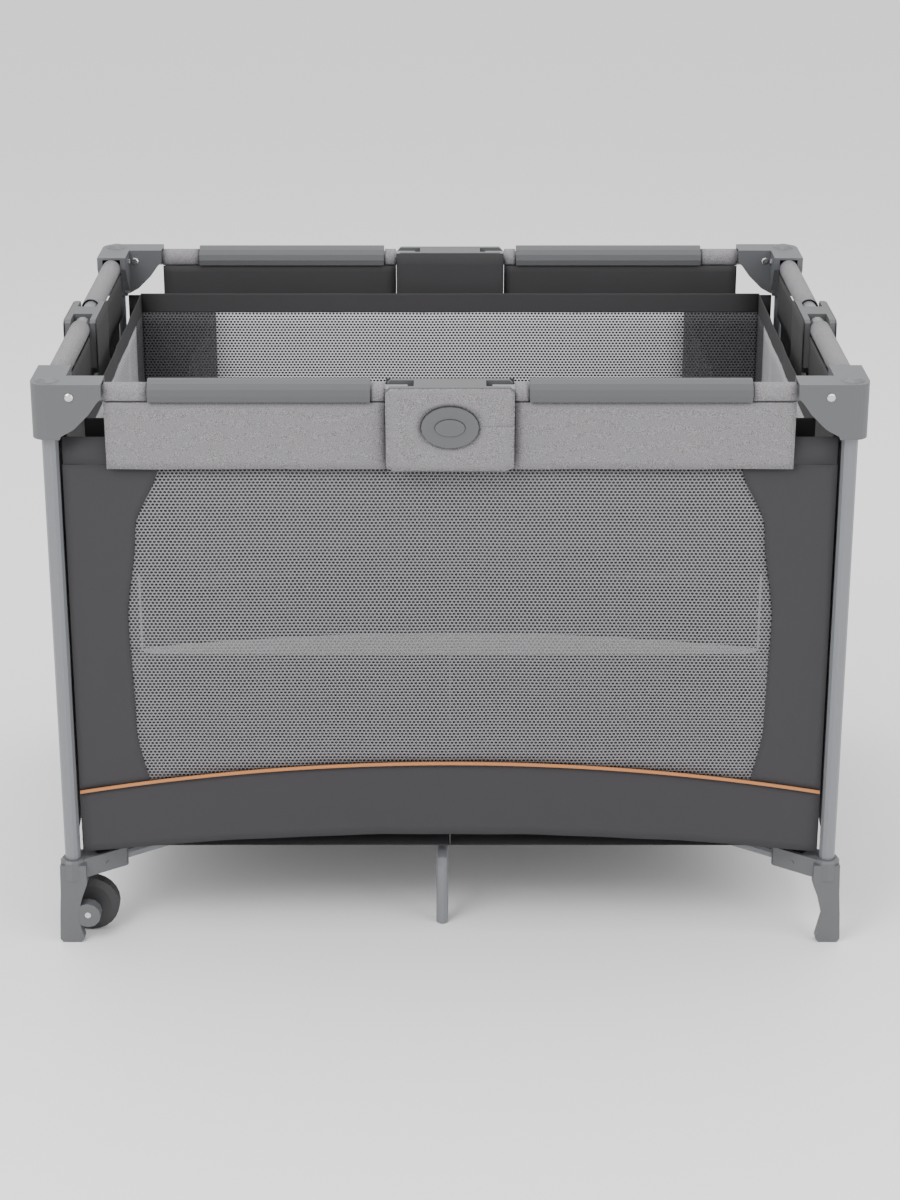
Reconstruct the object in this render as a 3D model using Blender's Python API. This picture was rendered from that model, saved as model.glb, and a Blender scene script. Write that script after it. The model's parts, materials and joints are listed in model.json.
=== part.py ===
"""Travel play yard: folding tube frame, fabric body, bassinet insert and mattress pad.

Run with: blender --background --python part.py

Metres, +Z up, X along the length, -Y is the front. The origin is on the floor, midway
between the four posts. The yard stands open. Each moving body has an empty on its joint's
axis, and the pieces of that body are its children.

How it folds: lifting the hub turns the four base tubes up about the feet, which pulls the
posts together; every top rail folds down at its middle latch by the same angle. The pin
distances of the rails equal those of the base tubes, so the linkage closes at every angle.
"""
import bpy
import bmesh
from math import cos, hypot, pi, sin
from mathutils import Vector

# ---- driving dimensions (metres) ----
POST_X = 0.480  # post centres, half the distance along the length
POST_Y = 0.340  # post centres, half the distance across
POST_RADIUS = 0.010
TUBE_WALL = 0.0012
RAIL_Z = 0.731  # height of the top rails' pins
RAIL_RADIUS = 0.010
RAIL_PIN_INSET = 0.028     # from a post's centre to its rail pins
RAIL_END = 0.005           # tube past its pin
BASE_PIN_Z = 0.100  # height of the base tubes' pins
BASE_RADIUS = 0.008
FOOT_PIN_INSET = 0.042     # from a post's centre to its foot pin, along the diagonal
HUB_PIN_RADIUS = 0.0605  # from the hub's centre to its pins
HUB_RADIUS = 0.080
HUB_BOTTOM = 0.086
HUB_TOP = 0.118
BRACKET_HALF = 0.020  # half thickness of a corner bracket's arm
BRACKET_ARM = 0.086  # from the outer face to the end of an arm
BRACKET_BOTTOM = 0.678
BRACKET_TOP = 0.7465
BRACKET_DOME = 0.750
BRACKET_CORNER = 0.019     # radius of the rounded outer corner
SLOT_HALF = 0.0125         # half width of the slots that hold a rail's end
PIN_RADIUS = 0.0028
PIN_HEAD = 0.0052
PIN_HEAD_HEIGHT = 0.0018
GAP = 0.0004               # clearance between touching pieces
FOOT_TOP = 0.115
FOOT_SOCKET_BOTTOM = 0.088
FOOT_ARM = 0.073           # length of the clevis arm, along the diagonal
FOOT_CHEEK = 0.005
FOOT_TIP = 0.500  # outermost reach of the soles along the length
BLADE_NEAR = -0.002        # blade faces, measured outward from the post's centre
BLADE_FAR = 0.014
WHEEL_RADIUS = 0.0365
WHEEL_WIDTH = 0.021
WHEEL_GAP = 0.014          # from a blade to its wheel
WHEEL_Z = 0.038
AXLE_RADIUS = 0.004
GRIP_START = 0.120  # grip cover, from the post's centre
GRIP_END = 0.095  # grip cover, from the rail's middle
GRIP_RADIUS = 0.018
LATCH_HALF_LONG = 0.075
LATCH_HALF_SHORT = 0.052
LATCH_HALF_THICK = 0.020
LATCH_BELOW = 0.062
LATCH_ABOVE = 0.012
COLLAR_HALF = (0.0345, 0.0255)
COLLAR_HEIGHT = 0.0055
COLLAR_MIDDLE = -0.036     # height of the collar, from the rail pins
BUTTON_HALF = (0.018, 0.0105)
BUTTON_TRAVEL = 0.0035
BUTTON_THICK = 0.008
LEG_OFFSET = 0.010         # middle legs stand either side of the centre line
LEG_Y = 0.298
LEG_BEND = 0.028
LEG_FLOOR_GAP = 0.001
PANEL_THICK = 0.003
PANEL_BOTTOM = 0.125
PANEL_TOP = 0.660
PANEL_POST_GAP = 0.008
BAND_BOTTOM = 0.641
BAND_TOP = 0.667
BAND_OUT = 0.0135
BAND_THICK = 0.002
FLOOR_Z = 0.1205
FLOOR_THICK = 0.002
STRAP_HALF_LENGTH = 0.028
STRAP_HEIGHT = 0.026
STRAP_HALF_WIDTH = 0.0115
STRAP_THICK = 0.002
BASSINET_HALF = (0.445, 0.304)
BASSINET_BOTTOM = 0.485
BASSINET_TOP = 0.690
BASSINET_WALL = 0.003
PAD_HALF = (0.425, 0.285)
PAD_THICK = 0.020
ROUND_SIDES = 12
PIN_SIDES = 8

# ---- places worked out from them ----
DIAGONAL = hypot(POST_X, POST_Y)
DIAGONAL_X = POST_X / DIAGONAL
DIAGONAL_Y = POST_Y / DIAGONAL
TUBE_SPAN = DIAGONAL - FOOT_PIN_INSET - HUB_PIN_RADIUS
LATCH_PIN_LONG = POST_X - RAIL_PIN_INSET - TUBE_SPAN * DIAGONAL_X
LATCH_PIN_SHORT = POST_Y - RAIL_PIN_INSET - TUBE_SPAN * DIAGONAL_Y
CORNERS = {"front_left": (-1, -1), "front_right": (1, -1), "back_left": (-1, 1), "back_right": (1, 1)}
UP = Vector((0, 0, 1))

MATERIALS = {
    "bracket_plastic": ((0.16, 0.165, 0.175), 0.5, 0.0),
    "tube_paint": ((0.23, 0.235, 0.245), 0.4, 0.3),
    "grip_plastic": ((0.12, 0.122, 0.128), 0.45, 0.0),
    "steel": ((0.6, 0.6, 0.6), 0.3, 1.0),
    "latch_plastic": ((0.14, 0.142, 0.148), 0.5, 0.0),
    "wheel_rubber": ((0.03, 0.03, 0.032), 0.7, 0.0),
    "dark_fabric": ((0.055, 0.052, 0.056), 0.9, 0.0),
    "strap_webbing": ((0.55, 0.2, 0.09), 0.8, 0.0),
    "bassinet_fabric": ((0.06, 0.057, 0.06), 0.9, 0.0),
    "pad_fabric": ((0.3, 0.3, 0.31), 0.9, 0.0),
}


def material(name):
    """The named material, made on first use."""
    found = bpy.data.materials.get(name)
    if found:
        return found
    color, roughness, metallic = MATERIALS[name]
    made = bpy.data.materials.new(name)
    made.use_nodes = True
    shader = made.node_tree.nodes["Principled BSDF"]
    shader.inputs["Base Color"].default_value = (*color, 1.0)
    shader.inputs["Roughness"].default_value = roughness
    shader.inputs["Metallic"].default_value = metallic
    return made


class Frame:
    """Local axes u, v, w in the world, so that one set of sizes serves mirrored copies."""

    def __init__(self, origin, u, v, w=UP):
        self.origin, self.u, self.v, self.w = Vector(origin), Vector(u), Vector(v), Vector(w)

    def at(self, u, v, w):
        return self.origin + self.u * u + self.v * v + self.w * w


WORLD = Frame((0, 0, 0), (1, 0, 0), (0, 1, 0))


def body(name, position):
    """An empty on a body's joint axis."""
    empty = bpy.data.objects.new(name + "_axis", None)
    empty.location = position
    empty.empty_display_size = 0.02
    bpy.context.collection.objects.link(empty)
    return empty


def finish(name, bm, slot, parent, smooth=True):
    """Turns a bmesh in world coordinates into a named object on its body's empty."""
    bmesh.ops.recalc_face_normals(bm, faces=bm.faces)
    origin = parent.location if parent else Vector((0, 0, 0))
    bmesh.ops.translate(bm, verts=bm.verts, vec=-origin)
    mesh = bpy.data.meshes.new(name)
    bm.to_mesh(mesh)
    bm.free()
    made = bpy.data.objects.new(name, mesh)
    if slot:
        mesh.materials.append(material(slot))
    if smooth:
        mesh.shade_smooth()
        mesh.set_sharp_from_angle(angle=pi / 5)
    made.parent = parent
    bpy.context.collection.objects.link(made)
    return made


def prism(outline, axis, low, high, frame=WORLD, bm=None):
    """A closed prism: outline points in the plane across one local axis, from low to high."""
    bm = bm or bmesh.new()

    def place(a, b, c):
        values = [a, b]
        values.insert(axis, c)
        return bm.verts.new(frame.at(*values))

    bottom = [place(a, b, low) for a, b in outline]
    top = [place(a, b, high) for a, b in outline]
    bm.faces.new(bottom)
    bm.faces.new(top)
    count = len(outline)
    for i in range(count):
        j = (i + 1) % count
        bm.faces.new((bottom[i], bottom[j], top[j], top[i]))
    return bm


def block(low, high, frame=WORLD, bm=None):
    """A box between two local corners."""
    outline = [(low[0], low[1]), (high[0], low[1]), (high[0], high[1]), (low[0], high[1])]
    return prism(outline, 2, low[2], high[2], frame, bm)


def ellipse(center, half, sides):
    """Outline points of an ellipse."""
    turns = [2 * pi * i / sides for i in range(sides)]
    return [(center[0] + half[0] * cos(t), center[1] + half[1] * sin(t)) for t in turns]


def across(direction):
    """Two unit vectors across a direction."""
    side = direction.cross(UP)
    if side.length < 1e-6:
        side = Vector((1, 0, 0))
    side.normalize()
    return side, side.cross(direction).normalized()


def rod(start, end, rings, sides, bm=None):
    """A closed turned solid on the line start to end; rings are (distance, radius) pairs."""
    bm = bm or bmesh.new()
    start = Vector(start)
    direction = (Vector(end) - start).normalized()
    side, rise = across(direction)
    loops = []
    for distance, radius in rings:
        center = start + direction * distance
        turns = [2 * pi * i / sides for i in range(sides)]
        loops.append([bm.verts.new(center + side * cos(t) * radius + rise * sin(t) * radius) for t in turns])
    bm.faces.new(loops[0])
    bm.faces.new(loops[-1])
    for low, high in zip(loops, loops[1:]):
        for i in range(sides):
            j = (i + 1) % sides
            bm.faces.new((low[i], low[j], high[j], high[i]))
    return bm


def pipe(points, radius, wall, sides=ROUND_SIDES):
    """An open-ended hollow tube along a path that stays in one plane."""
    bm = bmesh.new()
    points = [Vector(p) for p in points]
    outer, inner = [], []
    for i, point in enumerate(points):
        before = points[max(i - 1, 0)]
        after = points[min(i + 1, len(points) - 1)]
        tangent = (after - before).normalized()
        side = Vector((1, 0, 0)) if len(points) > 2 else across(tangent)[0]
        rise = side.cross(tangent).normalized()
        for loops, size in ((outer, radius), (inner, radius - wall)):
            turns = [2 * pi * (k + 0.5) / sides for k in range(sides)]
            loops.append([bm.verts.new(point + side * cos(t) * size + rise * sin(t) * size) for t in turns])
    for loops in (outer, inner):
        for low, high in zip(loops, loops[1:]):
            for i in range(sides):
                j = (i + 1) % sides
                bm.faces.new((low[i], low[j], high[j], high[i]))
    for end in (0, -1):
        for i in range(sides):
            j = (i + 1) % sides
            bm.faces.new((outer[end][i], outer[end][j], inner[end][j], inner[end][i]))
    return bm


def boolean(target, bm, operation="DIFFERENCE"):
    """Cuts or joins a shape, kept as a hidden wire guide."""
    guide = finish(target.name + "_guide", bm, None, target.parent, smooth=False)
    guide.hide_render = True
    guide.display_type = "WIRE"
    modifier = target.modifiers.new(operation.title(), "BOOLEAN")
    modifier.operation = operation
    modifier.object = guide
    return guide


def cut_pin_hole(target, center, direction, half_length):
    """A clear hole for a pin across a piece."""
    direction = Vector(direction)
    start = Vector(center) - direction * half_length
    end = Vector(center) + direction * half_length
    boolean(target, rod(start, end, [(0, PIN_RADIUS + GAP), (2 * half_length, PIN_RADIUS + GAP)], PIN_SIDES))


def join_pin(target, center, direction, half_length):
    """A pin of one piece with the plates it crosses, its ends a little proud of them."""
    direction = Vector(direction)
    reach = half_length + PIN_HEAD_HEIGHT * 0.5
    start = Vector(center) - direction * reach
    end = Vector(center) + direction * reach
    boolean(target, rod(start, end, [(0, PIN_RADIUS), (2 * reach, PIN_RADIUS)], PIN_SIDES), "UNION")


def pin(center, direction, half_length):
    """A rivet: a shank with a flat head at each end, heads clear of the plates by the gap."""
    direction = Vector(direction)
    reach = half_length + GAP + PIN_HEAD_HEIGHT
    start = Vector(center) - direction * reach
    end = Vector(center) + direction * reach
    length = 2 * reach
    rings = [
        (0, PIN_HEAD * 0.7),
        (PIN_HEAD_HEIGHT * 0.6, PIN_HEAD),
        (PIN_HEAD_HEIGHT, PIN_HEAD),
        (PIN_HEAD_HEIGHT, PIN_RADIUS),
        (length - PIN_HEAD_HEIGHT, PIN_RADIUS),
        (length - PIN_HEAD_HEIGHT, PIN_HEAD),
        (length - PIN_HEAD_HEIGHT * 0.6, PIN_HEAD),
        (length, PIN_HEAD * 0.7),
    ]
    return rod(start, end, rings, PIN_SIDES)


def corner_frame(signs):
    """u points outward along the length, v outward across, from the floor centre."""
    return Frame((0, 0, 0), (signs[0], 0, 0), (0, signs[1], 0))


def foot_pin(signs):
    """Where a base tube is pinned to its foot."""
    reach = DIAGONAL - FOOT_PIN_INSET
    return Vector((signs[0] * DIAGONAL_X * reach, signs[1] * DIAGONAL_Y * reach, BASE_PIN_Z))


def hub_pin(signs):
    """Where a base tube is pinned to the hub."""
    return Vector((signs[0] * DIAGONAL_X, signs[1] * DIAGONAL_Y, 0)) * HUB_PIN_RADIUS + UP * BASE_PIN_Z


def outward(signs):
    """Unit vector from the hub to a corner."""
    return Vector((signs[0] * DIAGONAL_X, signs[1] * DIAGONAL_Y, 0))


# ---- corner posts, brackets and feet ----
def make_post(name, signs, parent):
    """A straight tube from the foot's socket to the bracket's socket."""
    x, y = signs[0] * POST_X, signs[1] * POST_Y
    low, high = FOOT_SOCKET_BOTTOM + 0.004, RAIL_Z + 0.004
    return finish("post_" + name, pipe([(x, y, low), (x, y, high)], POST_RADIUS, TUBE_WALL), "tube_paint", parent)


def bracket_outline():
    """Plan of the L-shaped bracket, with its outer corner rounded."""
    outer_x, outer_y = POST_X + BRACKET_HALF, POST_Y + BRACKET_HALF
    inner_x, inner_y = POST_X - BRACKET_HALF, POST_Y - BRACKET_HALF
    end_x, end_y = outer_x - BRACKET_ARM, outer_y - BRACKET_ARM
    center = (outer_x - BRACKET_CORNER, outer_y - BRACKET_CORNER)
    turns = [pi / 2 * (1 - i / 5) for i in range(6)]
    arc = [(center[0] + BRACKET_CORNER * cos(t), center[1] + BRACKET_CORNER * sin(t)) for t in turns]
    return [(end_x, inner_y), (end_x, outer_y), *arc, (outer_x, end_y), (inner_x, end_y), (inner_x, inner_y)]


def gusset(end, post):
    """What is cut away under an arm, so that it tapers down to the post."""
    return [
        (end - 0.002, BRACKET_BOTTOM - 0.002),
        (end - 0.002, RAIL_Z + 0.001),
        (end + 0.006, RAIL_Z - 0.008),
        (end + 0.016, RAIL_Z - 0.022),
        (end + 0.034, RAIL_Z - 0.040),
        (post - BRACKET_HALF + 0.004, BRACKET_BOTTOM + 0.004),
        (post - BRACKET_HALF + 0.006, BRACKET_BOTTOM - 0.002),
    ]


def make_bracket(name, signs, parent):
    """Corner bracket: two hollow arms, a socket for the post and a low dome."""
    frame = corner_frame(signs)
    made = finish("corner_bracket_" + name, prism(bracket_outline(), 2, BRACKET_BOTTOM, BRACKET_TOP, frame),
                  "bracket_plastic", parent)
    axis_low, axis_high = frame.at(POST_X, POST_Y, RAIL_Z), frame.at(POST_X, POST_Y, BRACKET_DOME)
    height = BRACKET_DOME - RAIL_Z
    dome = rod(axis_low, axis_high, [(0, 0.0185), (height - 0.009, 0.0185), (height - 0.003, 0.0145),
                                     (height, 0.008)], ROUND_SIDES)
    boolean(made, dome, "UNION")
    end_x, end_y = POST_X + BRACKET_HALF - BRACKET_ARM, POST_Y + BRACKET_HALF - BRACKET_ARM
    margin = 0.004
    boolean(made, prism(gusset(end_x, POST_X), 1, POST_Y - BRACKET_HALF - margin, POST_Y + BRACKET_HALF + margin,
                        frame))
    boolean(made, prism(gusset(end_y, POST_Y), 0, POST_X - BRACKET_HALF - margin, POST_X + BRACKET_HALF + margin,
                        frame))
    slot_wall = 0.0135
    slot_top = RAIL_Z + 0.0125
    slot_bottom = BRACKET_BOTTOM - 0.01
    boolean(made, block((end_x - 0.01, POST_Y - SLOT_HALF, slot_bottom),
                        (POST_X - slot_wall, POST_Y + SLOT_HALF, slot_top), frame))
    boolean(made, block((POST_X - SLOT_HALF, end_y - 0.01, slot_bottom),
                        (POST_X + SLOT_HALF, POST_Y - slot_wall, slot_top), frame))
    socket_low = frame.at(POST_X, POST_Y, BRACKET_BOTTOM - 0.01)
    socket_high = frame.at(POST_X, POST_Y, RAIL_Z + 0.0045)
    socket = POST_RADIUS + GAP
    boolean(made, rod(socket_low, socket_high, [(0, socket), ((socket_high - socket_low).length, socket)],
                      ROUND_SIDES * 2))
    for center, direction in rail_pins(signs):
        cut_pin_hole(made, center, direction, BRACKET_HALF + 0.003)
    return made


def rail_pins(signs):
    """Centre and axis of a corner's two rail pins, long rail first."""
    long_pin = Vector((signs[0] * (POST_X - RAIL_PIN_INSET), signs[1] * POST_Y, RAIL_Z))
    short_pin = Vector((signs[0] * POST_X, signs[1] * (POST_Y - RAIL_PIN_INSET), RAIL_Z))
    return (long_pin, Vector((0, 1, 0))), (short_pin, Vector((1, 0, 0)))


def make_rivets(name, signs, parent):
    """The two rivets that hold the rails in a corner bracket."""
    for kind, (center, direction) in zip(("long", "short"), rail_pins(signs)):
        finish("rivet_" + kind + "_" + name, pin(center, direction, BRACKET_HALF), "steel", parent)


def blade_outline():
    """Front view of a foot's blade, flaring outward to its sole."""
    sole_in, sole_out = FOOT_TIP - 0.031, FOOT_TIP
    return [
        (POST_X - 0.0175, FOOT_TOP - 0.006),
        (POST_X + 0.0155, FOOT_TOP - 0.006),
        (POST_X + 0.0165, 0.070),
        (POST_X + 0.0185, 0.040),
        (sole_out, 0.005),
        (sole_out - 0.004, 0.0),
        (sole_in + 0.004, 0.0),
        (sole_in, 0.005),
        (POST_X - 0.0040, 0.036),
        (POST_X - 0.0100, 0.062),
        (POST_X - 0.0175, 0.082),
    ]


def make_foot(name, signs, parent, has_wheel):
    """Foot: socket for the post, blade to the floor and a clevis arm for the base tube."""
    frame = corner_frame(signs)
    made = finish("foot_" + name, prism(blade_outline(), 1, POST_Y + BLADE_NEAR, POST_Y + BLADE_FAR, frame),
                  "bracket_plastic", parent)
    low, high = frame.at(POST_X, POST_Y, FOOT_SOCKET_BOTTOM), frame.at(POST_X, POST_Y, FOOT_TOP)
    height = FOOT_TOP - FOOT_SOCKET_BOTTOM
    boolean(made, rod(low, high, [(0, 0.0165), (height - 0.003, 0.0165), (height, 0.014)], ROUND_SIDES), "UNION")
    inward = -outward(signs)
    side = inward.cross(UP)
    arm = Frame(frame.at(POST_X, POST_Y, 0), inward, side)
    half = BASE_RADIUS + GAP * 2 + FOOT_CHEEK
    outline = [(0, -half), (FOOT_ARM - 0.004, -half), (FOOT_ARM, -half + 0.003), (FOOT_ARM, half - 0.003),
               (FOOT_ARM - 0.004, half), (0, half)]
    boolean(made, prism(outline, 2, FOOT_SOCKET_BOTTOM + 0.0006, FOOT_TOP - 0.0006, arm), "UNION")
    slot = BASE_RADIUS + GAP * 2
    boolean(made, block((FOOT_PIN_INSET - 0.012, -slot, 0.05), (FOOT_ARM + 0.02, slot, 0.15), arm))
    socket = POST_RADIUS + GAP
    top = frame.at(POST_X, POST_Y, FOOT_TOP + 0.01)
    floor = frame.at(POST_X, POST_Y, FOOT_SOCKET_BOTTOM + 0.0036)
    boolean(made, rod(floor, top, [(0, socket), ((top - floor).length, socket)], ROUND_SIDES * 2))
    join_pin(made, foot_pin(signs), side, half)
    if has_wheel:
        center = wheel_center(signs)
        boss = POST_Y + BLADE_NEAR + 0.0003, POST_Y + BLADE_FAR - 0.0003
        rings = [(0, 0.0165), (boss[1] - boss[0], 0.0165)]
        low, high = Vector((center.x, signs[1] * boss[0], WHEEL_Z)), Vector((center.x, signs[1] * boss[1], WHEEL_Z))
        boolean(made, rod(low, high, rings, ROUND_SIDES), "UNION")
        start = center - frame.v * 0.002
        end = center + frame.v * 0.06
        radius = AXLE_RADIUS + GAP
        boolean(made, rod(start, end, [(0, radius), (0.062, radius)], ROUND_SIDES))
    return made


# ---- wheels ----
def wheel_center(signs):
    """Centre of a wheel, on the inner side of its foot's blade."""
    x = signs[0] * (FOOT_TIP - WHEEL_RADIUS)
    y = signs[1] * (POST_Y + BLADE_NEAR - WHEEL_GAP - WHEEL_WIDTH / 2)
    return Vector((x, y, WHEEL_Z))


def make_wheel(name, signs, parent):
    """A turned wheel with a hollowed face and a bore."""
    center = wheel_center(signs)
    direction = Vector((0, signs[1], 0))
    half = WHEEL_WIDTH / 2
    made = finish("wheel_" + name, rod(center - direction * half, center + direction * half,
                                       [(0, 0.027), (0.003, WHEEL_RADIUS), (WHEEL_WIDTH - 0.003, WHEEL_RADIUS),
                                        (WHEEL_WIDTH, 0.027)], ROUND_SIDES * 2), "wheel_rubber", parent)
    bore = AXLE_RADIUS + GAP
    boolean(made, rod(center - direction * 0.03, center + direction * 0.03, [(0, bore), (0.06, bore)],
                      ROUND_SIDES))
    return made


def make_axle(name, signs, parent):
    """A headed axle that stands out of the foot's blade."""
    center = wheel_center(signs)
    direction = Vector((0, signs[1], 0))
    start = center - direction * (WHEEL_WIDTH / 2 + GAP + 0.003)
    length = WHEEL_WIDTH + 0.003 + GAP + WHEEL_GAP + BLADE_FAR - BLADE_NEAR - 0.001
    rings = [(0, 0.0075), (0.003, 0.0075), (0.003, AXLE_RADIUS), (length, AXLE_RADIUS)]
    return finish("axle_" + name, rod(start, start + direction, rings, ROUND_SIDES), "steel", parent)


# ---- top rails ----
def rail_frame(side):
    """Origin at a rail's middle, u along it, v outward. Returns it with post, pin and latch reach."""
    if side in ("front", "back"):
        sign = -1 if side == "front" else 1
        frame = Frame((0, sign * POST_Y, RAIL_Z), (1, 0, 0), (0, sign, 0))
        return frame, POST_X, LATCH_PIN_LONG, LATCH_HALF_LONG
    sign = -1 if side == "left" else 1
    frame = Frame((sign * POST_X, 0, RAIL_Z), (0, 1, 0), (sign, 0, 0))
    return frame, POST_Y, LATCH_PIN_SHORT, LATCH_HALF_SHORT


def make_rail(name, side, end, parent):
    """One half of a top rail, a tube pinned to its corner bracket and to the latch."""
    frame, post, latch_pin, _ = rail_frame(side)
    outer, inner = post - RAIL_PIN_INSET, latch_pin
    start = frame.at(end * (inner - RAIL_END), 0, 0)
    stop = frame.at(end * (outer + RAIL_END), 0, 0)
    made = finish("rail_" + name, pipe([start, stop], RAIL_RADIUS, TUBE_WALL), "tube_paint", parent)
    for reach in (inner, outer):
        cut_pin_hole(made, frame.at(end * reach, 0, 0), frame.v, RAIL_RADIUS + 0.004)
    return made


def make_grip(name, side, end, parent):
    """A hard grip cover clamped over a long rail, open below."""
    frame, post, _, _ = rail_frame(side)
    steps = 9
    first, last = -pi * 0.13, pi * 1.13
    turns = [first + (last - first) * i / steps for i in range(steps + 1)]
    inner = RAIL_RADIUS + GAP
    outline = [(GRIP_RADIUS * cos(t), GRIP_RADIUS * sin(t)) for t in turns]
    outline += [(inner * cos(t), inner * sin(t)) for t in reversed(turns)]
    low, high = sorted((end * GRIP_END, end * (post - GRIP_START)))
    return finish("grip_" + name, prism(outline, 0, low, high, frame), "grip_plastic", parent)


def make_latch(side, parent):
    """Middle latch: a channel open upward, with an oval collar round its release button."""
    frame, _, latch_pin, half = rail_frame(side)
    low, high = -LATCH_BELOW, LATCH_ABOVE
    outline = [(-half, high - 0.004), (-half + 0.004, high), (half - 0.004, high), (half, high - 0.004),
               (half, low + 0.010), (half - 0.012, low), (-half + 0.012, low), (-half, low + 0.010)]
    made = finish("latch_" + side, prism(outline, 1, -LATCH_HALF_THICK, LATCH_HALF_THICK, frame),
                  "latch_plastic", parent)
    face = LATCH_HALF_THICK + COLLAR_HEIGHT
    boolean(made, prism(ellipse((0, COLLAR_MIDDLE), COLLAR_HALF, 20), 1, LATCH_HALF_THICK - 0.003, face, frame),
            "UNION")
    clear = RAIL_RADIUS + RAIL_END * 0.4
    for end in (-1, 1):
        near = latch_pin - clear - 0.0005
        slot_low, slot_high = sorted((end * near, end * (half + 0.01)))
        boolean(made, block((slot_low, -SLOT_HALF, -0.0125), (slot_high, SLOT_HALF, high + 0.01), frame))
        join_pin(made, frame.at(end * latch_pin, 0, 0), frame.v, LATCH_HALF_THICK)
    pocket = [half_size + GAP * 1.5 for half_size in BUTTON_HALF]
    boolean(made, prism(ellipse((0, COLLAR_MIDDLE), pocket, 16), 1, face - BUTTON_THICK - BUTTON_TRAVEL,
                        face + 0.004, frame))
    return made


def make_button(side, parent):
    """An oval release button that stands proud of its collar."""
    frame, _, _, _ = rail_frame(side)
    face = LATCH_HALF_THICK + COLLAR_HEIGHT
    proud = 0.0015
    low = face - BUTTON_THICK + BUTTON_TRAVEL * 0.25
    outline = ellipse((0, COLLAR_MIDDLE), BUTTON_HALF, 16)
    return finish("button_" + side, prism(outline, 1, low, face + proud, frame), "latch_plastic", parent)


# ---- base: hub, tubes and middle legs ----
def hub_arms():
    """Outward direction and pin centre of the hub's six arms, tubes first."""
    arms = [(outward(signs), hub_pin(signs)) for signs in CORNERS.values()]
    for sign in (-1, 1):
        arms.append((Vector((0, sign, 0)), Vector((sign * LEG_OFFSET, sign * HUB_PIN_RADIUS, BASE_PIN_Z))))
    return arms


def make_hub(parent):
    """A round cap with six slots, open below, for the ends of the tubes."""
    low, high = Vector((0, 0, HUB_BOTTOM)), Vector((0, 0, HUB_TOP))
    height = HUB_TOP - HUB_BOTTOM
    made = finish("hub", rod(low, high, [(0, HUB_RADIUS), (height - 0.005, HUB_RADIUS),
                                         (height, HUB_RADIUS - 0.006)], ROUND_SIDES * 2), "latch_plastic", parent)
    half = BASE_RADIUS + GAP * 2
    for direction, center in hub_arms():
        frame = Frame((center.x, center.y, 0), direction, direction.cross(UP))
        boolean(made, block((-0.0125, -half, HUB_BOTTOM - 0.01), (HUB_RADIUS, half, BASE_PIN_Z + 0.0105), frame))
    for direction, center in hub_arms():
        join_pin(made, center, direction.cross(UP), half + 0.003)
    return made


def make_base_tube(name, signs, parent):
    """A tube from the hub's pin to the foot's pin."""
    direction = outward(signs)
    start, stop = hub_pin(signs), foot_pin(signs)
    side = direction.cross(UP)
    made = finish("base_tube_" + name, pipe([start - direction * RAIL_END, stop + direction * RAIL_END],
                                            BASE_RADIUS, TUBE_WALL), "tube_paint", parent)
    for center in (start, stop):
        cut_pin_hole(made, center, side, BASE_RADIUS + 0.004)
    return made


def make_middle_leg(name, sign, parent):
    """A tube from the hub towards a long side, bent down to the floor."""
    x = sign * LEG_OFFSET
    points = [(x, sign * (HUB_PIN_RADIUS - RAIL_END), BASE_PIN_Z)]
    bend_y, bend_z = LEG_Y - LEG_BEND, BASE_PIN_Z - LEG_BEND
    for i in range(6):
        turn = pi / 2 * i / 5
        points.append((x, sign * (bend_y + LEG_BEND * sin(turn)), bend_z + LEG_BEND * cos(turn)))
    points.append((x, sign * LEG_Y, LEG_FLOOR_GAP))
    made = finish("middle_leg_" + name, pipe(points, BASE_RADIUS, TUBE_WALL), "tube_paint", parent)
    cut_pin_hole(made, Vector((x, sign * HUB_PIN_RADIUS, BASE_PIN_Z)), Vector((1, 0, 0)), BASE_RADIUS + 0.004)
    return made


def make_strap(parent):
    """The fold strap: a webbing loop that stands on the hub."""
    base = HUB_TOP + GAP
    steps = 8
    turns = [pi * i / steps for i in range(steps + 1)]
    inner = STRAP_HALF_LENGTH - STRAP_THICK, STRAP_HEIGHT - STRAP_THICK
    outline = [(STRAP_HALF_LENGTH * cos(t), base + STRAP_HEIGHT * sin(t)) for t in turns]
    outline += [(inner[0] * cos(t), base + inner[1] * sin(t)) for t in reversed(turns)]
    return finish("fold_strap", prism(outline, 1, -STRAP_HALF_WIDTH, STRAP_HALF_WIDTH), "strap_webbing", parent)


# ---- soft parts, plain solids of the right size ----
def make_panel(side, parent):
    """A side panel between two posts, with the rail's cover band outside it."""
    frame, post, _, _ = rail_frame(side)
    reach = post - POST_RADIUS - PANEL_POST_GAP
    band = post + BRACKET_HALF - BRACKET_ARM - 0.002
    half = PANEL_THICK / 2
    made = finish("panel_" + side, block((-reach, -half, PANEL_BOTTOM - RAIL_Z), (reach, half, PANEL_TOP - RAIL_Z),
                                         frame), "dark_fabric", parent, smooth=False)
    outline = [(0, BAND_BOTTOM - RAIL_Z), (BAND_OUT, BAND_BOTTOM - RAIL_Z), (BAND_OUT, BAND_TOP - RAIL_Z),
               (BAND_OUT - BAND_THICK, BAND_TOP - RAIL_Z), (BAND_OUT - BAND_THICK, BAND_BOTTOM + 0.012 - RAIL_Z),
               (0, BAND_BOTTOM + 0.012 - RAIL_Z)]
    boolean(made, prism(outline, 0, -band, band, frame), "UNION")
    return made


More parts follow.
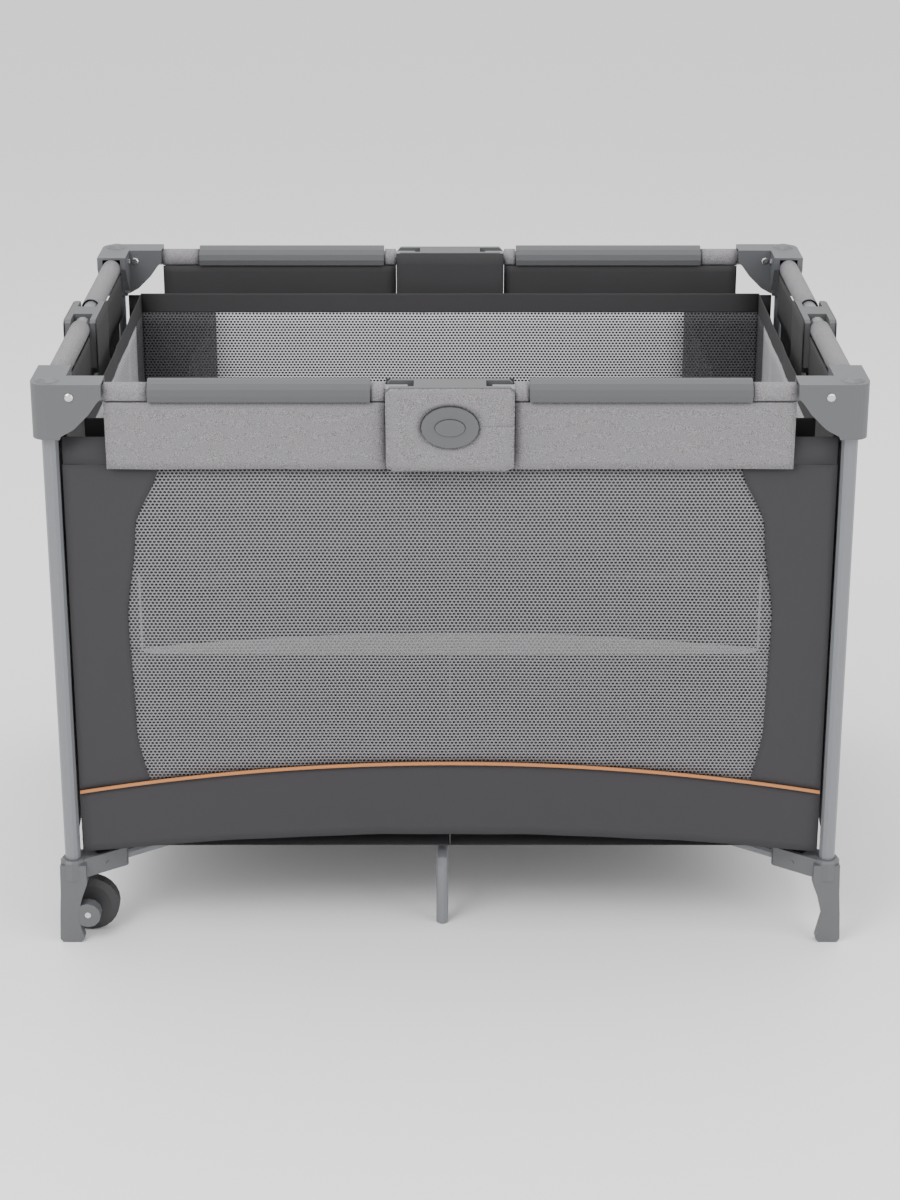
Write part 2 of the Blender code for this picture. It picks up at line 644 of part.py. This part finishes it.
def make_floor(parent):
    """The fabric floor on the base tubes, with an opening for the fold strap."""
    reach_x = POST_X - POST_RADIUS - PANEL_POST_GAP - 0.003
    reach_y = POST_Y - POST_RADIUS - PANEL_POST_GAP - 0.003
    made = finish("fabric_floor", block((-reach_x, -reach_y, FLOOR_Z), (reach_x, reach_y, FLOOR_Z + FLOOR_THICK)),
                  "dark_fabric", parent, smooth=False)
    hole = STRAP_HALF_LENGTH + 0.006, STRAP_HALF_WIDTH + 0.006
    boolean(made, block((-hole[0], -hole[1], FLOOR_Z - 0.01), (hole[0], hole[1], FLOOR_Z + 0.01)))
    return made


def make_bassinet(parent):
    """The hung insert: a tub of thin walls, open above."""
    x, y = BASSINET_HALF
    made = finish("bassinet", block((-x, -y, BASSINET_BOTTOM), (x, y, BASSINET_TOP)), "bassinet_fabric", parent,
                  smooth=False)
    wall = BASSINET_WALL
    boolean(made, block((-x + wall, -y + wall, BASSINET_BOTTOM + wall), (x - wall, y - wall, BASSINET_TOP + 0.01)))
    return made


def make_pad(parent):
    """The mattress pad that lies in the bassinet."""
    low = BASSINET_BOTTOM + BASSINET_WALL + 0.0015
    x, y = PAD_HALF
    return finish("mattress_pad", block((-x, -y, low), (x, y, low + PAD_THICK)), "pad_fabric", parent,
                  smooth=False)


# ---- the whole yard ----
def build():
    """Empties the scene and makes every piece."""
    for old in list(bpy.data.objects):
        bpy.data.objects.remove(old)
    hub = body("hub", hub_pin(CORNERS["front_left"]))
    posts = {}
    for name, signs in CORNERS.items():
        post = body("post_" + name, foot_pin(signs))
        posts[name] = post
        make_post(name, signs, post)
        make_bracket(name, signs, post)
        make_rivets(name, signs, post)
        has_wheel = signs[0] < 0
        make_foot(name, signs, post, has_wheel)
        if has_wheel:
            make_axle(name, signs, post)
            make_wheel(name, signs, body("wheel_" + name, wheel_center(signs)))
        pivot = foot_pin(signs) if name == "front_left" else hub_pin(signs)
        make_base_tube(name, signs, body("base_tube_" + name, pivot))
    for side, ends in (("front", ("left", "right")), ("back", ("left", "right")), ("left", ("front", "back")),
                       ("right", ("front", "back"))):
        frame, post_reach, latch_pin, _ = rail_frame(side)
        for end, end_name in zip((-1, 1), ends):
            name = side + "_" + end_name
            parent = body("rail_" + name, frame.at(end * (post_reach - RAIL_PIN_INSET), 0, 0))
            make_rail(name, side, end, parent)
            if side in ("front", "back"):
                make_grip(name, side, end, parent)
        latch = body("latch_" + side, frame.at(-latch_pin, 0, 0))
        make_latch(side, latch)
        make_button(side, body("button_" + side, frame.at(0, 0, COLLAR_MIDDLE)))
    make_hub(hub)
    make_strap(hub)
    for name, sign in (("front", -1), ("back", 1)):
        make_middle_leg(name, sign, body("middle_leg_" + name, (sign * LEG_OFFSET, sign * HUB_PIN_RADIUS,
                                                                BASE_PIN_Z)))
    for side, corner in (("front", "front_left"), ("left", "front_left"), ("back", "back_left"),
                         ("right", "front_right")):
        make_panel(side, posts[corner])
    make_floor(hub)
    insert = body("insert", (0, 0, BASSINET_BOTTOM))
    make_bassinet(insert)
    make_pad(insert)


build()
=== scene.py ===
"""Looks of the travel play yard: finishes, fabric walls, bassinet insert, lights and camera."""
import json
import logging
from dataclasses import dataclass
from enum import Enum
from math import cos, pi, radians, sin
from typing import Callable, Sequence

import bpy
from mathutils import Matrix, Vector


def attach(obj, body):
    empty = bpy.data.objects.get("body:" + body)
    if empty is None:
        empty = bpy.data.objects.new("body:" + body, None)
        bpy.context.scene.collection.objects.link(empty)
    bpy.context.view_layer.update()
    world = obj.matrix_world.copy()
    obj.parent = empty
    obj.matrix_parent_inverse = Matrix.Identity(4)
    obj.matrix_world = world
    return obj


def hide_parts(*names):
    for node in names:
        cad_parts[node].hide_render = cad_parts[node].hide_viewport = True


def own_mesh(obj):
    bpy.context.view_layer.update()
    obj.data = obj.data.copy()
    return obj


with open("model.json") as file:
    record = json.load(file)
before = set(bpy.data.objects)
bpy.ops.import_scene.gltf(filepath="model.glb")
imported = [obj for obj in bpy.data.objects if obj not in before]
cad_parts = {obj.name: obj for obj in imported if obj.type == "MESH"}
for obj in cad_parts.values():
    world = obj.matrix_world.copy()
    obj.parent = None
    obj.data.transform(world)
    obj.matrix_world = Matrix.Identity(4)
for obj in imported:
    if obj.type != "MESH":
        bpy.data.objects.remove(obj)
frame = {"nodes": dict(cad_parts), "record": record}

LOG = logging.getLogger("play_yard")
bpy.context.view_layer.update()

POST_X = 0.480
POST_Y = 0.340
RAIL_Z = 0.731
WALL_END = 0.013          # from a post's centre to the fabric's edge
WINDOW_TOP = 0.641
SKIRT_TOP = 0.7225
SKIRT_END = 0.0675        # from a post's centre to the rail skirt's end
LATCH_CLEAR = {"long": 0.078, "short": 0.055}
GRIP_NEAR = 0.0935
GRIP_FAR = 0.3615
WRAP = 0.0125
INNER_LOW = 0.662
COVER_LOW = 0.640
STRAP_HOLE = (0.031, 0.0145)
COVER_HIGH = 0.7425
COVER_MIDDLE = 0.695
INSERT_HALF = (0.443, 0.302)
INSERT_LOW = 0.487
INSERT_HIGH = 0.688
PAD_HALF = (0.423, 0.283)
PAD_LOW = 0.4905
PAD_HIGH = 0.5085


class Side(Enum):
    """A side of the yard, with its name, the post its wall rides on, an axis and a start."""

    FRONT = ("front", "post_front_left", (1, 0, 0), -POST_X)
    BACK = ("back", "post_back_left", (1, 0, 0), -POST_X)
    LEFT = ("left", "post_front_left", (0, 1, 0), -POST_Y)
    RIGHT = ("right", "post_front_right", (0, 1, 0), -POST_Y)

    @property
    def long(self) -> bool:
        """Whether this is a long side."""
        return self in (Side.FRONT, Side.BACK)


@dataclass(frozen=True)
class Finish:
    """A material's looks.

    Args:
        color: linear base colour.
        roughness: roughness, 0 to 1.
        metallic: metallic share.
        grain: height of the fine surface bump, 0 for none.
        scale: frequency of the grain, per metre.
        pattern: "plain", "heather", "mesh" or "moire".
    """

    color: tuple[float, float, float]
    roughness: float
    metallic: float = 0.0
    grain: float = 0.0
    scale: float = 900.0
    pattern: str = "plain"


FINISHES = {
    "bracket_plastic": Finish((0.095, 0.098, 0.104), 0.45, 0.0, 0.05, 1500.0),
    "tube_paint": Finish((0.175, 0.182, 0.194), 0.38, 0.25),
    "grip_plastic": Finish((0.078, 0.079, 0.084), 0.60, 0.0, 0.10, 1400.0),
    "steel": Finish((0.62, 0.62, 0.63), 0.25, 1.0),
    "latch_plastic": Finish((0.090, 0.091, 0.095), 0.50, 0.0, 0.05, 1500.0),
    "wheel_rubber": Finish((0.028, 0.028, 0.030), 0.60, 0.0, 0.10, 700.0),
    "dark_fabric": Finish((0.034, 0.032, 0.036), 0.90, 0.0, 0.30, 1200.0),
    "heather": Finish((0.190, 0.182, 0.190), 0.92, 0.0, 0.35, 1300.0, "heather"),
    "mesh": Finish((0.20, 0.194, 0.204), 0.85, 0.0, 0.0, 1.0, "mesh"),
    # A darker copy of the mesh for the insert wall ends: painted shade towards the corners.
    "dark_mesh": Finish((0.070, 0.067, 0.072), 0.85, 0.0, 0.0, 1.0, "mesh"),
    "inner_fabric": Finish((0.032, 0.030, 0.032), 0.92, 0.0, 0.30, 1200.0),
    # A brighter copy of the mesh for the insert wall middle: painted light of the white backdrop seen through the
    # mesh layers.
    "bright_mesh": Finish((0.52, 0.51, 0.53), 0.80, 0.0, 0.0, 1.0, "mesh"),
    "piping": Finish((0.42, 0.17, 0.06), 0.75, 0.0, 0.2, 1500.0),
    "strap_webbing": Finish((0.62, 0.13, 0.05), 0.75, 0.0, 0.3, 1200.0),
    "pad_fabric": Finish((0.42, 0.42, 0.44), 0.90, 0.0, 0.25, 1000.0, "moire"),
}


def grain_group() -> bpy.types.NodeTree:
    """The shared fine-grain bump.

    Returns:
        A node group with Scale and Strength in, and Normal out.
    """
    found = bpy.data.node_groups.get("Grain")
    if found:
        return found
    tree = bpy.data.node_groups.new("Grain", "ShaderNodeTree")
    tree.interface.new_socket("Scale", in_out="INPUT", socket_type="NodeSocketFloat")
    tree.interface.new_socket("Strength", in_out="INPUT", socket_type="NodeSocketFloat")
    tree.interface.new_socket("Normal", in_out="OUTPUT", socket_type="NodeSocketVector")
    tree.interface.new_socket("Value", in_out="OUTPUT", socket_type="NodeSocketFloat")
    entry = tree.nodes.new("NodeGroupInput")
    leave = tree.nodes.new("NodeGroupOutput")
    place = tree.nodes.new("ShaderNodeTexCoord")
    noise = tree.nodes.new("ShaderNodeTexNoise")
    noise.inputs["Detail"].default_value = 2.0
    bump = tree.nodes.new("ShaderNodeBump")
    bump.inputs["Distance"].default_value = 0.0006
    tree.links.new(place.outputs["Object"], noise.inputs["Vector"])
    tree.links.new(entry.outputs["Scale"], noise.inputs["Scale"])
    tree.links.new(entry.outputs["Strength"], bump.inputs["Strength"])
    tree.links.new(noise.outputs["Fac"], bump.inputs["Height"])
    tree.links.new(bump.outputs["Normal"], leave.inputs["Normal"])
    tree.links.new(noise.outputs["Fac"], leave.inputs["Value"])
    return tree


def math_node(tree: bpy.types.NodeTree, kind: str, first, second=None):
    """Adds a math node.

    Args:
        tree: the node tree.
        kind: the operation.
        first: a socket or a number.
        second: a socket, a number or None.

    Returns:
        The node's output socket.
    """
    node = tree.nodes.new("ShaderNodeMath")
    node.operation = kind
    for i, value in enumerate((first, second)):
        if value is None:
            continue
        if isinstance(value, (int, float)):
            node.inputs[i].default_value = value
        else:
            tree.links.new(value, node.inputs[i])
    return node.outputs[0]


def hole_mask(tree: bpy.types.NodeTree):
    """Staggered round holes of a knitted mesh, from the UV map in metres.

    Args:
        tree: the material's node tree.

    Returns:
        A socket that is 1 in a hole and 0 on a thread.
    """
    place = tree.nodes.new("ShaderNodeTexCoord")
    split = tree.nodes.new("ShaderNodeSeparateXYZ")
    tree.links.new(place.outputs["UV"], split.inputs[0])
    row = math_node(tree, "DIVIDE", split.outputs["Y"], 0.0040)
    odd = math_node(tree, "MULTIPLY", math_node(tree, "MODULO", math_node(tree, "FLOOR", row), 2.0), 0.5)
    column = math_node(tree, "ADD", math_node(tree, "DIVIDE", split.outputs["X"], 0.0050), odd)
    across = math_node(tree, "SUBTRACT", math_node(tree, "FRACT", column), 0.5)
    along = math_node(tree, "SUBTRACT", math_node(tree, "FRACT", row), 0.5)
    squared = math_node(tree, "ADD", math_node(tree, "MULTIPLY", across, across),
                        math_node(tree, "MULTIPLY", along, along))
    return math_node(tree, "LESS_THAN", squared, 0.150)


def make_material(name: str) -> bpy.types.Material:
    """Makes a finish's material on first use.

    Args:
        name: a key of FINISHES.

    Returns:
        The material.
    """
    found = bpy.data.materials.get("look_" + name)
    if found:
        return found
    look = FINISHES[name]
    made = bpy.data.materials.new("look_" + name)
    made.use_nodes = True
    tree = made.node_tree
    shader = tree.nodes["Principled BSDF"]
    shader.inputs["Base Color"].default_value = (*look.color, 1.0)
    shader.inputs["Roughness"].default_value = look.roughness
    shader.inputs["Metallic"].default_value = look.metallic
    if look.grain:
        grain = tree.nodes.new("ShaderNodeGroup")
        grain.node_tree = grain_group()
        grain.inputs["Scale"].default_value = look.scale
        grain.inputs["Strength"].default_value = look.grain
        tree.links.new(grain.outputs["Normal"], shader.inputs["Normal"])
        if look.pattern in ("heather", "moire"):
            ramp = tree.nodes.new("ShaderNodeValToRGB")
            spread = 0.55 if look.pattern == "heather" else 0.25
            ramp.color_ramp.elements[0].position = 0.35
            ramp.color_ramp.elements[1].position = 0.65
            ramp.color_ramp.elements[0].color = (*[c * (1 - spread) for c in look.color], 1)
            ramp.color_ramp.elements[1].color = (*[c * (1 + spread) for c in look.color], 1)
            tree.links.new(grain.outputs["Value"], ramp.inputs["Fac"])
            tree.links.new(ramp.outputs["Color"], shader.inputs["Base Color"])
    if look.pattern == "mesh":
        hole = hole_mask(tree)
        solid = math_node(tree, "SUBTRACT", 1.0, math_node(tree, "MULTIPLY", hole, 0.40))
        tree.links.new(solid, shader.inputs["Alpha"])
        # Holes are painted near-black and stay 60% opaque: painted shade of the dark inside seen through them.
        hole_shade_mix = tree.nodes.new("ShaderNodeMix")
        hole_shade_mix.data_type = "RGBA"
        hole_shade_mix.inputs[6].default_value = (*look.color, 1)
        hole_shade_mix.inputs[7].default_value = (0.022, 0.021, 0.024, 1)
        tree.links.new(hole, hole_shade_mix.inputs[0])
        tree.links.new(hole_shade_mix.outputs[2], shader.inputs["Base Color"])
    return made


def side_point(side: Side, u: float, v: float, z: float) -> Vector:
    """A point of a side, u along it and v outward from the post plane."""
    if side is Side.FRONT:
        return Vector((u, -POST_Y - v, z))
    if side is Side.BACK:
        return Vector((u, POST_Y + v, z))
    if side is Side.LEFT:
        return Vector((-POST_X - v, u, z))
    return Vector((POST_X + v, u, z))


def sheet_mesh(name: str, place: Callable[[float, float], Vector], columns: int, rows: int, finish: str,
               body: str, thick: float = 0.0010) -> bpy.types.Object:
    """A grid of cloth with its UV map in metres.

    Args:
        name: the piece's name.
        place: maps (s, t), each 0 to 1, to a point.
        columns: cells along s.
        rows: cells along t.
        finish: a key of FINISHES.
        body: the body the piece rides on.
        thick: the cloth's thickness.

    Returns:
        The piece.
    """
    points = [place(i / columns, j / rows) for j in range(rows + 1) for i in range(columns + 1)]
    faces = []
    for j in range(rows):
        for i in range(columns):
            a = j * (columns + 1) + i
            faces.append((a, a + 1, a + columns + 2, a + columns + 1))
    mesh = bpy.data.meshes.new(name)
    mesh.from_pydata(points, [], faces)
    layer = mesh.uv_layers.new(name="cloth")
    wide = abs(points[columns].x - points[0].x) > abs(points[columns].y - points[0].y)
    for loop in mesh.loops:
        p = points[loop.vertex_index]
        layer.data[loop.index].uv = (p.x if wide else p.y, p.z)
    mesh.shade_smooth()
    made = bpy.data.objects.new(name, mesh)
    bpy.context.scene.collection.objects.link(made)
    mesh.materials.append(make_material(finish))
    solid = made.modifiers.new("thickness", "SOLIDIFY")
    solid.thickness = thick
    solid.offset = 0
    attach(made, body)
    return made


def declare(piece: bpy.types.Object, width: float, length: float) -> None:
    """Works out a width from a sheet's cell area; the result is not kept."""
    area = sum(face.area for face in piece.data.polygons)
    width = max(width, area / length * 1.001)


def window_half(z: float) -> float:
    """Half width of a long side's window at a height."""
    stops = [(0.20, 0.372), (0.32, 0.392), (0.45, 0.396), (0.56, 0.383), (0.641, 0.352), (0.75, 0.34)]
    for (low, a), (high, b) in zip(stops, stops[1:]):
        if z <= high:
            t = max(0.0, (z - low) / (high - low))
            t = t * t * (3 - 2 * t)
            return a + (b - a) * t
    return stops[-1][1]


def ripple(u: float, z: float, size: float) -> float:
    """Soft puckers of hung cloth, metres outward."""
    wave = sin(u * 31 + z * 9) * 0.5 + sin(u * 67 - z * 21 + 1.3) * 0.3 + sin(z * 48 + u * 13) * 0.2
    return wave * size


class Wall:
    """One fabric side: window, side strips, lower skirt and piping."""

    def __init__(self, side: Side) -> None:
        self.side = side
        self.name, self.body, self.axis, self.start = side.value
        self.reach = (POST_X if side.long else POST_Y) - WALL_END

    def half(self, z: float) -> float:
        """Half width of this side's window."""
        return window_half(z) - (0 if self.side.long else POST_X - POST_Y)

    def low(self, u: float) -> float:
        """Height of the piping."""
        return 0.247 - 0.040 * (u / self.reach) ** 2

    def hem(self, u: float) -> float:
        """Height of the lower hem."""
        return 0.148 - 0.025 * (u / self.reach) ** 2

    def window(self, s: float, t: float) -> Vector:
        """The window's surface."""
        z = 0.24 + (WINDOW_TOP - 0.24) * t
        u = self.half(z) * (2 * s - 1)
        z = self.low(u) + (WINDOW_TOP - self.low(u)) * t
        sag = 0.004 * sin(pi * s) * sin(pi * t)
        return side_point(self.side, u, -sag + ripple(u, z, 0.0007), z)

    def strip(self, sign: int) -> Callable[[float, float], Vector]:
        """The charcoal cloth between the window and a post."""

        def place(s: float, t: float) -> Vector:
            z = 0.24 + (WINDOW_TOP - 0.24) * t
            near = self.half(z)
            u = sign * (near + (self.reach - near) * s)
            z = self.low(u) + (WINDOW_TOP - self.low(u)) * t
            return side_point(self.side, u, 0.0004 + ripple(u, z, 0.0016) * s * (1 - s) * 4, z)

        return place

    def skirt(self, s: float, t: float) -> Vector:
        """The lower skirt."""
        u = self.reach * (2 * s - 1)
        z = self.hem(u) + (self.low(u) - self.hem(u)) * t
        return side_point(self.side, u, 0.0006 + ripple(u, z, 0.0016) * (1 - t), z)

    def top(self, s: float, t: float) -> Vector:
        """The cloth between the window and the rail, inside the rail skirt."""
        u = (self.reach - 0.001) * (2 * s - 1)
        z = WINDOW_TOP + (0.035 if abs(u) > LATCH_CLEAR["long"] else 0.026) * t
        return side_point(self.side, u, ripple(u, z, 0.0004), z)

    def piping(self) -> bpy.types.Object:
        """The coloured cord along the skirt's seam."""
        points = []
        sides = 8
        columns = 60
        for i in range(columns + 1):
            u = self.reach * (2 * i / columns - 1) * 0.998
            for k in range(sides):
                turn = 2 * pi * k / sides
                points.append(side_point(self.side, u, 0.0030 + 0.0024 * cos(turn), self.low(u) + 0.0024 * sin(turn)))
        faces = []
        for i in range(columns):
            for k in range(sides):
                n = (k + 1) % sides
                a = i * sides
                faces.append((a + k, a + n, a + sides + n, a + sides + k))
        faces.append(tuple(range(sides)))
        faces.append(tuple(reversed(range(columns * sides, columns * sides + sides))))
        mesh = bpy.data.meshes.new("piping_" + self.name)
        mesh.from_pydata(points, [], faces)
        mesh.shade_smooth()
        made = bpy.data.objects.new("piping_" + self.name, mesh)
        bpy.context.scene.collection.objects.link(made)
        mesh.materials.append(make_material("piping"))
        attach(made, self.body)
        return made

    def build(self) -> None:
        """Makes the wall's pieces."""
        wide = 2 * self.reach
        parts = []
        window = sheet_mesh("window_" + self.name, self.window, 48, 24, "mesh", self.body, 0.0006)
        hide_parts("panel_" + self.name)
        parts.append((window, wide, 0.46))
        for sign, label in ((-1, "low"), (1, "high")):
            strip = sheet_mesh(f"strip_{self.name}_{label}", self.strip(sign), 10, 40, "dark_fabric", self.body)
            parts.append((strip, 0.14, 0.46))
        parts.append((sheet_mesh("skirt_" + self.name, self.skirt, 60, 8, "dark_fabric", self.body), wide, 0.12))
        parts.append((sheet_mesh("band_" + self.name, self.top, 40, 2, "dark_fabric", self.body), wide, 0.05))
        for piece, width, length in parts:
            declare(piece, width, length)
        cord = self.piping()
        anchor = side_point(self.side, self.start, 0, 0.2)
        for piece in [p for p, _, _ in parts] + [cord]:
            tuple(self.axis)
            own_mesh(piece)


class RailSkirt:
    """The heather cloth over one half rail: it wraps the rail and hangs down on both sides."""

    def __init__(self, side: Side, end: int, label: str) -> None:
        self.side = side
        self.end = end
        self.label = label
        self.post = POST_X if side.long else POST_Y
        self.far = self.post - SKIRT_END
        self.near = LATCH_CLEAR["long" if side.long else "short"]

    def outer(self, s: float, t: float) -> Vector:
        """The outer skirt."""
        u = self.end * (self.near + (self.far - self.near) * s)
        z = WINDOW_TOP - 0.003 + (SKIRT_TOP - WINDOW_TOP + 0.003) * t
        v = 0.0085 + 0.0035 * t + ripple(u, z, 0.0014) * (1 - t)
        return side_point(self.side, u, v, z)

    def inner(self, s: float, t: float) -> Vector:
        """The dark inner skirt."""
        u = self.end * (self.near + (self.far - self.near) * s)
        z = INNER_LOW + (SKIRT_TOP - INNER_LOW) * t
        v = -0.0125 - ripple(u, z, 0.0012) * (1 - t)
        return side_point(self.side, u, v, z)

    def wrap(self, low: float, high: float) -> Callable[[float, float], Vector]:
        """The cloth round the bare rail between two reaches."""

        def place(s: float, t: float) -> Vector:
            turn = radians(-42 + 264 * t)
            u = self.end * (low + (high - low) * s)
            return side_point(self.side, u, WRAP * cos(turn), RAIL_Z + WRAP * sin(turn))

        return place

    def build(self) -> None:
        """Makes the cloth."""
        name = f"rail_{self.side.value[0]}_{self.label}"
        top = tuple(side_point(self.side, 0, 0, RAIL_Z))
        long = 0.36 if self.side.long else 0.24
        outer = sheet_mesh("skirt_" + name, self.outer, 36, 8, "heather", name)
        declare(outer, long, 0.085)
        inner = sheet_mesh("inner_" + name, self.inner, 24, 6, "inner_fabric", name)
        declare(inner, long, 0.06)
        for piece in (outer, inner):
            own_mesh(piece)
        spans = [(self.near, self.far)]
        if self.side.long:
            spans = [(self.near, GRIP_NEAR), (GRIP_FAR, self.far)]
        for i, (low, high) in enumerate(spans):
            piece = sheet_mesh(f"wrap_{name}_{i}", self.wrap(low, high), 4, 20, "heather", name)
            declare(piece, high - low, 0.058)


class LatchCover:
    """The heather cloth over a middle latch, with an opening for its collar."""

    def __init__(self, side: Side) -> None:
        self.side = side
        self.half = LATCH_CLEAR["long" if side.long else "short"] - 0.0012

    def front(self, s: float, t: float) -> Vector:
        """The outer face, from an oval opening (t = 0) to the edges (t = 1)."""
        turn = 2 * pi * s
        inner = Vector((0.0352 * cos(turn), COVER_MIDDLE + 0.0262 * sin(turn)))
        reach = min(self.half / max(abs(cos(turn)), 1e-6), 1e9)
        height = COVER_HIGH - COVER_MIDDLE if sin(turn) > 0 else COVER_MIDDLE - COVER_LOW
        reach = min(reach, height / max(abs(sin(turn)), 1e-6))
        outer = Vector((reach * cos(turn), COVER_MIDDLE + reach * sin(turn)))
        spot = inner.lerp(outer, t)
        return side_point(self.side, spot.x, 0.0214 + 0.0008 * sin(pi * t), spot.y)

    def back(self, s: float, t: float) -> Vector:
        """The inner face."""
        u = self.half * (2 * s - 1)
        z = COVER_LOW + (COVER_HIGH - COVER_LOW) * t
        return side_point(self.side, u, -0.0214 - ripple(u, z, 0.0004), z)

    def build(self) -> None:
        """Makes the cover."""
        body = "latch_" + self.side.value[0]
        high = COVER_HIGH - COVER_LOW
        front = sheet_mesh("cover_" + body, self.front, 64, 5, "heather", body)
        declare(front, 2 * self.half, high)
        back = sheet_mesh("cover_in_" + body, self.back, 16, 6, "inner_fabric", body)
        declare(back, 2 * self.half, high)


class Insert:
    """The bassinet insert: four hung walls, a bottom and the mattress pad."""

    def wall(self, axis: int, sign: int, low: Sequence[float],
             high: Sequence[float]) -> Callable[[float, float], Vector]:
        """One patch of a wall, between two corners given as shares of its length and height."""

        def place(s: float, t: float) -> Vector:
            x, y = INSERT_HALF
            s = low[0] + (high[0] - low[0]) * s
            t = low[1] + (high[1] - low[1]) * t
            z = INSERT_LOW + (INSERT_HIGH - INSERT_LOW) * t
            along = 2 * s - 1
            wave = ripple(along * 0.4, z, 0.0010) * sin(pi * s)
            if axis == 0:
                return Vector((along * x, sign * (y + wave), z))
            return Vector((sign * (x + wave), along * y, z))

        return place

    def build(self) -> None:
        """Makes the insert's pieces."""
        # The middle patch is mesh with painted light and the end patches are mesh with painted shade; the rim is
        # plain inner cloth.
        patches = (
            ("start", (0, 0), (0.12, 0.86), "dark_mesh"),
            ("middle", (0.12, 0), (0.88, 0.86), "bright_mesh"),
            ("end", (0.88, 0), (1, 0.86), "dark_mesh"),
            ("rim", (0, 0.86), (1, 1), "inner_fabric"),
        )
        for axis, sign in ((0, -1), (0, 1), (1, -1), (1, 1)):
            name = "insert_wall_" + ("long" if axis == 0 else "short") + ("_low_" if sign < 0 else "_high_")
            for label, low, high, finish in patches:
                piece = sheet_mesh(name + label, self.wall(axis, sign, low, high), 24, 10, finish, "insert", 0.0006)
                width = 2 * INSERT_HALF[axis] * (high[0] - low[0])
                declare(piece, width, (INSERT_HIGH - INSERT_LOW) * (high[1] - low[1]))
        x, y = INSERT_HALF
        bottom = sheet_mesh("insert_bottom", lambda s, t: Vector(((2 * s - 1) * x, (2 * t - 1) * y, INSERT_LOW)),
                            20, 14, "dark_fabric", "insert")
        declare(bottom, 2 * x, 2 * y)
        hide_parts("bassinet")
        self.pad()

    def pad(self) -> None:
        """The mattress pad, a flat slab with softly rounded edges."""
        x, y = PAD_HALF
        bpy.ops.mesh.primitive_cube_add(size=1)
        piece = bpy.context.object
        piece.name = "pad"
        for vertex in piece.data.vertices:
            vertex.co = Vector((vertex.co.x * 2 * x, vertex.co.y * 2 * y,
                                PAD_LOW + (vertex.co.z + 0.5) * (PAD_HIGH - PAD_LOW)))
        bevel = piece.modifiers.new("round", "BEVEL")
        bevel.width = 0.007
        bevel.segments = 4
        piece.data.shade_smooth()
        piece.data.materials.append(make_material("pad_fabric"))
        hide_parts("mattress_pad")
        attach(piece, "insert")


class Floor:
    """The fabric floor in four quarters, each on its base tube."""

    def build(self) -> None:
        """Makes the quarters."""
        x = POST_X - 0.021
        y = POST_Y - 0.021
        first = True
        for sx, lx in ((-1, "left"), (1, "right")):
            for sy, ly in ((-1, "front"), (1, "back")):
                def place(s: float, t: float, sx=sx, sy=sy) -> Vector:
                    u = 0.0006 + (x - 0.0006) * s
                    near = 0.0006 if u > STRAP_HOLE[0] else STRAP_HOLE[1]
                    v = near + (y - near) * t
                    return Vector((sx * u, sy * v, 0.1215 + 0.0006 * sin(u * 40) * sin(v * 30)))

                body = f"base_tube_{ly}_{lx}"
                piece = sheet_mesh(f"floor_{ly}_{lx}", place, 16, 12, "dark_fabric", body)
                declare(piece, x, y)
                if first:
                    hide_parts("fabric_floor")
                    first = False
                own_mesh(piece)


def dress_frame() -> None:
    """Gives the frame's own pieces their finishes."""
    for subpart in frame["record"]["subparts"]:
        look = subpart["material_slot"]
        if look not in FINISHES:
            continue
        node = frame["nodes"][subpart["node"]]
        node.data.materials.clear()
        node.data.materials.append(make_material(look))


def add_light(name: str, place: Sequence[float], size: float, power: float) -> None:
    """A soft lamp aimed at the yard."""
    data = bpy.data.lights.new(name, "AREA")
    data.size = size
    data.energy = power
    lamp = bpy.data.objects.new(name, data)
    lamp.location = place
    lamp.rotation_euler = (Vector((0, 0, 0.35)) - Vector(place)).to_track_quat("-Z", "Y").to_euler()
    bpy.context.scene.collection.objects.link(lamp)


def make_studio() -> None:
    """Floor, lights, sky and camera."""
    bpy.ops.mesh.primitive_plane_add(size=60)
    ground = bpy.context.object
    ground.name = "studio_floor"
    paint = bpy.data.materials.new("studio_floor")
    paint.use_nodes = True
    shader = paint.node_tree.nodes["Principled BSDF"]
    shader.inputs["Base Color"].default_value = (0.93, 0.93, 0.93, 1)
    shader.inputs["Roughness"].default_value = 0.7
    ground.data.materials.append(paint)
    world = bpy.data.worlds.new("studio")
    world.use_nodes = True
    world.node_tree.nodes["Background"].inputs["Color"].default_value = (1, 1, 1, 1)
    world.node_tree.nodes["Background"].inputs["Strength"].default_value = 1.25
    bpy.context.scene.world = world
    add_light("key", (-1.6, -2.2, 2.8), 1.6, 70)
    add_light("fill", (2.2, -1.6, 1.9), 2.0, 30)
    add_light("top", (0.0, 0.6, 3.0), 2.2, 45)
    data = bpy.data.cameras.new("camera")
    data.lens = 76.8
    data.sensor_width = 36.0
    data.shift_y = -0.05
    camera = bpy.data.objects.new("camera", data)
    camera.location = (0, -POST_Y - 2.93, 1.605)
    camera.rotation_euler = (radians(90 - 19.9), 0, 0)
    bpy.context.scene.collection.objects.link(camera)
    bpy.context.scene.camera = camera


def main() -> None:
    """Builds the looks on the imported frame."""
    logging.basicConfig(level=logging.INFO)
    dress_frame()
    for side in Side:
        Wall(side).build()
        ends = ("left", "right") if side.long else ("front", "back")
        for end, label in zip((-1, 1), ends):
            RailSkirt(side, end, label).build()
        LatchCover(side).build()
    Insert().build()
    Floor().build()
    make_studio()


if __name__ == "__main__":
    main()
